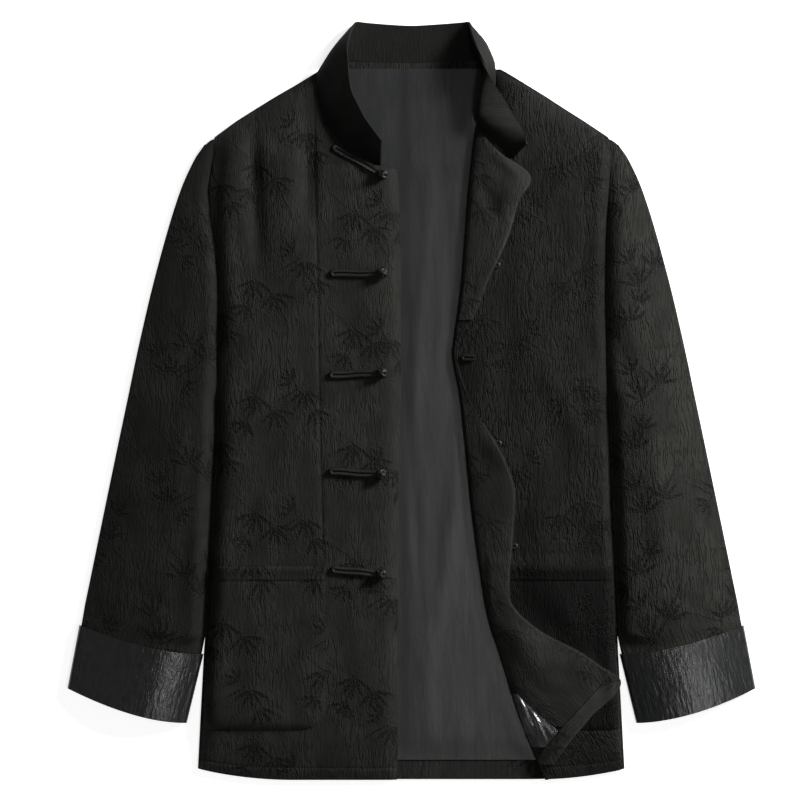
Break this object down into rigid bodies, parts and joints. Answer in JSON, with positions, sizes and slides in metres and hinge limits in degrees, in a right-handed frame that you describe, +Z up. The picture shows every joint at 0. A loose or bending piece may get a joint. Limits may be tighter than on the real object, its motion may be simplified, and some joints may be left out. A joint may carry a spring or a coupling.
{
  "type": "tang jacket",
  "caption": "Black mandarin-collar jacket with knotted frog closures, patch pockets and turned-back satin cuffs, lying flat with one front folded open.",
  "frame": {"origin": "centre of the bounding box's bottom face, on the surface the jacket lies on", "axes": "+Y from the hem towards the collar, +X towards the wearer's left sleeve, +Z up from the surface, out of the jacket's front"},
  "size_m": [0.7006, 0.7723, 0.0368],
  "materials": {
    "crepe": "matt crinkled crepe jacquard",
    "satin": "smooth satin",
    "lining": "glossy lining twill",
    "cord": "corded fabric"
  },
  "bodies": {
    "root": {"back": "crepe", "back_lining": "lining", "right_front": "crepe", "left_front": "crepe", "left_facing_upper": "crepe", "left_facing_lower": "crepe", "left_front_lining": "lining", "left_hem_turnup": "crepe", "collar": "crepe", "right_sleeve": "crepe", "left_sleeve": "crepe", "right_cuff": "satin", "left_cuff": "satin", "right_pocket": "crepe", "left_pocket": "crepe", "frog_cord_1": "cord", "frog_cord_2": "cord", "frog_cord_3": "cord", "frog_cord_4": "cord", "frog_cord_5": "cord", "frog_knot_1": "cord", "frog_knot_2": "cord", "frog_knot_3": "cord", "frog_knot_4": "cord", "frog_knot_5": "cord", "frog_loop_1": "cord", "frog_loop_2": "cord", "frog_loop_3": "cord", "frog_loop_4": "cord", "frog_loop_5": "cord"}
  },
  "joints": []
}
